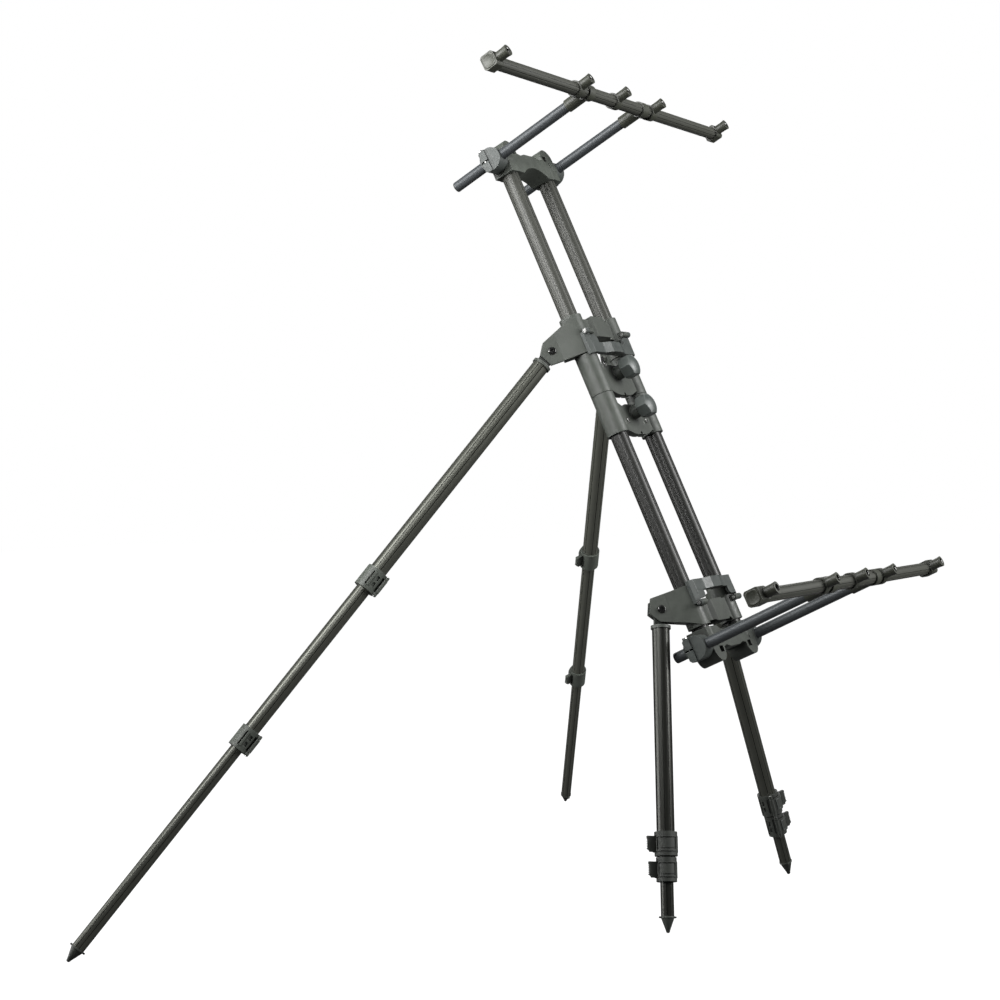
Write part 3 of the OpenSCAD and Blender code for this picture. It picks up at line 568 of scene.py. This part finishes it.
def knuckle_screws(name):
    """Clamp screws right through a rest's two knuckles."""
    bm = bmesh.new()
    for side in SIDES:
        spot = Matrix.Translation((KNUCKLE_SCREW_X, side * KNUCKLE_SCREW_Y, HUB_R))
        socket_head(bm, spot, d=6.2, height=2, key=1.6, depth=1.3)
        shank(bm, spot, r=1.6, length=2 * HUB_R - HEAD_BITE)
    add_piece(name + "_knuckle_screws", bm, rest_frame(name), name + "_knuckles",
              bright_steel)


def pivot_cap(leg):
    """A domed cap with a key hole over a leg's pivot, a little off the ear's face."""
    pair, side = pair_and_side(leg)
    off_ear = 0.7
    bm = bmesh.new()
    spot = Matrix.Translation((0, side * (EAR_HALF + off_ear), 0)) @ facing((0, side, 0))
    socket_head(bm, spot, d=9.4, height=1.7, key=2.3, depth=1.5, dome=0.6)
    add_piece(leg + "_pivot_cap", bm, leg_frame(leg), pair + "_bracket", dark_steel)


# Trim on the brackets

# A gusset's outline, across the lever and along it, and its back and front levels
GUSSET = ((54, -5.4), (40, -5.4), (36.5, -7), (35, -10), (35, -17), (54, -17))
GUSSET_LEVELS = (-0.95, 2.6)
# An ear's lower edge, and its upper edge as heights along the way from the tube to the pivot
EAR_FOOT = -17.4
EAR_EDGE = ((-5, BRACKET_TOP), (0, BRACKET_TOP), (EAR_REACH - 26, 28), (EAR_REACH + 7.5, 14))
# How far a fairing's face stands out along the same way, and where its back lies in the ear
FAIRING_FACE = ((-5, 8.3), (-1, 9.35), (4, 9.35), (EAR_REACH - 9, EAR_HALF - 0.15))
FAIRING_BACK = 5.5
FAIRING_INSET = 0.2


def lever_gussets(pair):
    """Gussets that widen a clamp lever's arms beside its window."""
    turned = PAIR_TURNS[pair]
    pins = Vector(joints[pair + "_clamp_lever_turn"]["pos_m"])
    pins.y = 0
    place = mat_from(SPINE_OUT, SIDE * turned, SPINE_UP * turned, pins)
    bm = bmesh.new()
    for side in SIDES:
        skin(bm, [[(level, side * u, v) for u, v in GUSSET] for level in GUSSET_LEVELS])
    add_piece(pair + "_lever_gussets", bm, place, pair + "_clamp_lever", lever_plastic)


def ear_fairing(leg):
    """A fairing that leads an ear's flat face on to its bracket's sleeve, cut to the ear's own edge."""
    pair, side = pair_and_side(leg)
    turned = PAIR_TURNS[pair]
    hinge, pivot = leg_hinge(leg)
    place = mat_from(hinge.cross(SPINE_UP), hinge, SPINE_UP, pivot)
    reach = FAIRING_FACE[-1][0]
    rows = []
    for u in sorted({u for u, _ in EAR_EDGE + FAIRING_FACE if u <= reach}):
        face = height_at(FAIRING_FACE, u)
        edge = height_at(EAR_EDGE, u) - FAIRING_INSET
        ring = ((FAIRING_BACK, EAR_FOOT), (face, EAR_FOOT), (face, edge), (FAIRING_BACK, edge))
        rows.append([(u - EAR_REACH, side * v, turned * z) for v, z in ring])
    bm = bmesh.new()
    skin(bm, rows)
    add_piece(leg + "_ear_fairing", bm, place, pair + "_bracket", moulding)


# Details of the rests

# A plug's profile: how far in from the arm's skin, and how far past the arm's end
ARM_PLUG = ((1.7, -6), (1.7, 0.02), (0.1, 0.02), (0.1, 0.6), (0.5, 1.1), (1.3, 1.5), (3, 1.7))
# A raised face's profile: half its width, and its level over the end cap
CAP_FACE = ((8.2, -0.5), (8.2, 0.2), (7.7, 0.6), (6.9, 0.6), (6.5, 0.35))
CAP_CORNER = 4.6
THREAD_PITCH = 0.98
THREAD_TURNS = 12
THREAD_DEPTH = 0.5
# The threads' ends run into the bore's wall, and their roots stay just clear of it
THREAD_LAP = 0.1
THREAD_CLEAR = 0.02
# Depths below the socket's tip, the last one without the turns before it
THREAD_START = 0.5
FIRST_CREST = 0.9
FIRST_ROOT = 1.35
THREAD_END = 1.4
THREAD_SHARP_TURN = 20


def arm_plugs(name):
    """Rounded plugs on the tails of a rest's arms."""
    bm = bmesh.new()
    for side in SIDES:
        spot = Matrix.Translation((ARM_TAILS[name], side * ARM_Y, 0)) @ facing((1, 0, 0))
        lathe(bm, [(ARM_D / 2 - inset, z) for inset, z in ARM_PLUG], spot)
    add_piece(name + "_arm_plugs", bm, rest_frame(name), name + "_rest", cap_plastic)


def cap_faces(name):
    """Raised faces on the end caps of a rest's bar."""
    bm = bmesh.new()
    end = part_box(name + "_bar_fittings")[1][1] / MM
    for side in SIDES:
        spot = Matrix.Translation((-REACH[name], side * end, 0)) @ facing((0, side, 0))
        skin(bm, [rounded_square(half, CAP_CORNER, level) for half, level in CAP_FACE], spot)
    add_piece(name + "_cap_faces", bm, rest_frame(name), name + "_rest", cap_plastic)


def socket_threads(name):
    """Thread ridges inside a rest's sockets."""
    profile = [(SOCKET_R + THREAD_LAP, THREAD_START)]
    for k in range(THREAD_TURNS):
        profile.append((SOCKET_R - THREAD_DEPTH, FIRST_CREST + k * THREAD_PITCH))
        profile.append((SOCKET_R - THREAD_CLEAR, FIRST_ROOT + k * THREAD_PITCH))
    profile.append((SOCKET_R + THREAD_LAP, THREAD_END + THREAD_TURNS * THREAD_PITCH))
    bm = bmesh.new()
    for y in SOCKETS[name]:
        spot = Matrix.Translation((-REACH[name] - SOCKET_TIP, y, 0)) @ facing((1, 0, 0))
        lathe(bm, profile, spot, steps=32, caps=False)
    add_piece(name + "_socket_threads", bm, rest_frame(name), name + "_rest", dark_steel,
              THREAD_SHARP_TURN)


# Details of the leg locks

# A pin end's profile: radius, and height over the end of the lock
PIN_END = ((1.9, -0.1), (1.9, 0.35), (1.5, 0.7), (0.8, 0.85))


def lever_frame(tube_d):
    """A raised frame on a lock lever's skin."""
    lever_r = tube_d / 2 + LEVER_BACK + LEVER_THICK
    back, front = lever_r - 0.4, lever_r + 0.55
    start, end, post = 22, 84, 5
    half, rail = 7.2, 1.3
    bm = bmesh.new()
    arc_block(bm, back, front, start, end, half - rail, half)
    arc_block(bm, back, front, start, end, -half, rail - half)
    for a in (start, end - post):
        arc_block(bm, back, front, a, a + post, rail - half, half - rail, steps=3)
    return bm


def lock_pad(tube_d):
    """A raised pad with a frame round it on a lock collar's back."""
    collar_r = tube_d / 2 + LOCK_FACE
    back, frame_front, pad_front = collar_r - 0.5, collar_r + 1, collar_r + 0.6
    start, end, post = 126, 236, 6
    half, rail = 7.6, 1.6
    pad_start, pad_end, pad_half = 140, 222, 5.4
    bm = bmesh.new()
    for z in (-half - rail, half):
        arc_block(bm, back, frame_front, start, end, z, z + rail, steps=24)
    for a in (start, end - post):
        arc_block(bm, back, frame_front, a, a + post, -half, half, steps=3)
    arc_block(bm, back, pad_front, pad_start, pad_end, -pad_half, pad_half, steps=20)
    return bm


def pin_ends(pin_x):
    """Bright ends of a lock lever's pin."""
    bm = bmesh.new()
    for side in SIDES:
        spot = Matrix.Translation((pin_x, 0, side * LOCK_LEN / 2)) @ facing((0, 0, side))
        lathe(bm, PIN_END, spot, steps=24)
    return bm


def lock_details(leg, which, body, tube_d):
    """What is added to a lock: a frame on its lever, a pad on a rear collar and its pin's ends."""
    place, pin_x = lock_frame(leg, which)
    lock = leg + "_" + which
    lever = lock + "_lever"
    add_piece(lock + "_lever_frame", lever_frame(tube_d), place, lever, lever_plastic)
    if leg.startswith("rear"):
        # The rear collar's pad takes the rear locks' painted shade
        add_piece(lock + "_lock_pad", lock_pad(tube_d), place, body, rear_lock_shaded_plastic)
    add_piece(lock + "_pin_ends", pin_ends(pin_x), place, lever, bright_steel)


for sleeve_body in SLEEVE_SCREW_STATIONS:
    web_screws(sleeve_body)
for rest_name in RESTS:
    knuckle_screws(rest_name)
for leg_name in LEGS:
    pivot_cap(leg_name)
for pair_name in PAIR_TURNS:
    lever_gussets(pair_name)
for leg_name in LEGS:
    ear_fairing(leg_name)
for add_detail in (arm_plugs, cap_faces, socket_threads):
    for rest_name in RESTS:
        add_detail(rest_name)
for leg_name in LEGS:
    lock_details(leg_name, "upper", leg_name + "_leg", LEG_D)
    lock_details(leg_name, "lower", leg_name + "_middle", MIDDLE_D)


# Floor, light and camera, in metres

FLOOR_HALF = 14
FLOOR_GREY = (0.12, 0.12, 0.12, 1)
WHITE = (1, 1, 1, 1)
ROOM_TINT = (0.93, 0.97, 1, 1)
ROOM_LIGHT = 0.07
# The photograph's camera: turns in degrees, and its place behind the lower rest's axis
CAMERA_YAW = -58.446
CAMERA_PITCH = -0.454
CAMERA_ROLL = -1.921
CAMERA_BACK = 1.0251
CAMERA_SIDE = 2.2015
CAMERA_HEIGHT = 0.541
# The lens, in pixels of the photograph, and the sensor's width in millimetres
FOCAL_PIXELS = 1895.19
IMAGE_PIXELS = 1000
SENSOR_WIDTH = 36


def plain_floor():
    """A floor that the camera sees as white, and that is a dull grey to all other rays."""
    bm = bmesh.new()
    bmesh.ops.create_grid(bm, x_segments=1, y_segments=1, size=FLOOR_HALF)
    mesh = bpy.data.meshes.new("floor")
    bm.to_mesh(mesh)
    bm.free()
    o = bpy.data.objects.new("floor", mesh)
    bpy.context.scene.collection.objects.link(o)
    m, tree, surface = new_material("floor_paper")
    surface.inputs["Base Color"].default_value = FLOOR_GREY
    surface.inputs["Roughness"].default_value = 0.9
    surface.inputs["Specular IOR Level"].default_value = 0
    glow = add_node(tree, "ShaderNodeEmission", Strength=1.0)
    both = add_node(tree, "ShaderNodeAddShader")
    seen = add_node(tree, "ShaderNodeLightPath").outputs["Is Camera Ray"]
    choose = add_node(tree, "ShaderNodeMixShader")
    out = tree.nodes["Material Output"]
    tree.links.new(surface.outputs[0], both.inputs[0])
    tree.links.new(glow.outputs[0], both.inputs[1])
    tree.links.new(seen, choose.inputs[0])
    tree.links.new(surface.outputs[0], choose.inputs[1])
    tree.links.new(both.outputs[0], choose.inputs[2])
    tree.links.new(choose.outputs[0], out.inputs["Surface"])
    mesh.materials.append(m)


def white_world():
    """White behind the object, and a dimmer grey room for light and reflections."""
    world = bpy.data.worlds.new("studio")
    world.use_nodes = True
    tree = world.node_tree
    tree.nodes.clear()
    room = add_node(tree, "ShaderNodeBackground", Strength=ROOM_LIGHT, Color=ROOM_TINT)
    white = add_node(tree, "ShaderNodeBackground", Strength=1.0, Color=WHITE)
    seen = add_node(tree, "ShaderNodeLightPath").outputs["Is Camera Ray"]
    both = add_node(tree, "ShaderNodeMixShader")
    out = add_node(tree, "ShaderNodeOutputWorld")
    tree.links.new(seen, both.inputs[0])
    tree.links.new(room.outputs[0], both.inputs[1])
    tree.links.new(white.outputs[0], both.inputs[2])
    tree.links.new(both.outputs[0], out.inputs["Surface"])
    bpy.context.scene.world = world


def area_light(name, place, aim, size, power, spread=180):
    """A soft light at a place, turned to its aim, with its power in watts and its spread in degrees."""
    data = bpy.data.lights.new(name, "AREA")
    data.shape = "RECTANGLE"
    data.size, data.size_y = size
    data.energy = power
    data.spread = math.radians(spread)
    o = bpy.data.objects.new(name, data)
    o.location = place
    o.rotation_euler = (Vector(aim) - Vector(place)).to_track_quat("-Z", "Y").to_euler()
    bpy.context.scene.collection.objects.link(o)


def photo_camera():
    """A camera at the photograph's own place and angle."""
    yaw, pitch, roll = (math.radians(a) for a in (CAMERA_YAW, CAMERA_PITCH, CAMERA_ROLL))
    ahead = Vector((math.cos(pitch) * math.cos(yaw), math.cos(pitch) * math.sin(yaw), math.sin(pitch)))
    right = Vector((math.sin(yaw), -math.cos(yaw), 0))
    up = right.cross(ahead)
    level = math.cos(roll) * right + math.sin(roll) * up
    rise = math.cos(roll) * up - math.sin(roll) * right
    place = Vector((LOWER_AXIS.x - CAMERA_BACK, CAMERA_SIDE, CAMERA_HEIGHT))
    data = bpy.data.cameras.new("camera")
    data.sensor_width = SENSOR_WIDTH
    data.lens = FOCAL_PIXELS / IMAGE_PIXELS * SENSOR_WIDTH
    data.clip_end = 100
    o = bpy.data.objects.new("camera", data)
    o.matrix_world = mat_from(level, rise, -ahead, place)
    bpy.context.scene.collection.objects.link(o)
    bpy.context.scene.camera = o


plain_floor()
white_world()
area_light("key", (0.45, 1.35, 1.5), aim=(0.02, 0, 0.88), size=(0.9, 0.9), power=13.5, spread=110)
area_light("front", (-0.5, 1.9, 1.6), aim=(0.05, 0, 1.0), size=(0.6, 0.6), power=1.8, spread=42)
area_light("low", (1.5, 1.0, 0.55), aim=(0.15, 0, 0.35), size=(0.8, 0.8), power=4, spread=75)
area_light("top", (-0.1, 0.3, 2.3), aim=(0, 0, 0.8), size=(1.4, 1.4), power=8)
area_light("side", (-1.6, -0.55, 1.2), aim=(0.05, 0, 0.7), size=(0.9, 1.2), power=19, spread=110)
area_light("far", (1.1, -1.9, 1.3), aim=(0.05, 0, 0.6), size=(1.4, 1.4), power=16)
photo_camera()
bpy.context.scene.view_settings.view_transform = "Standard"
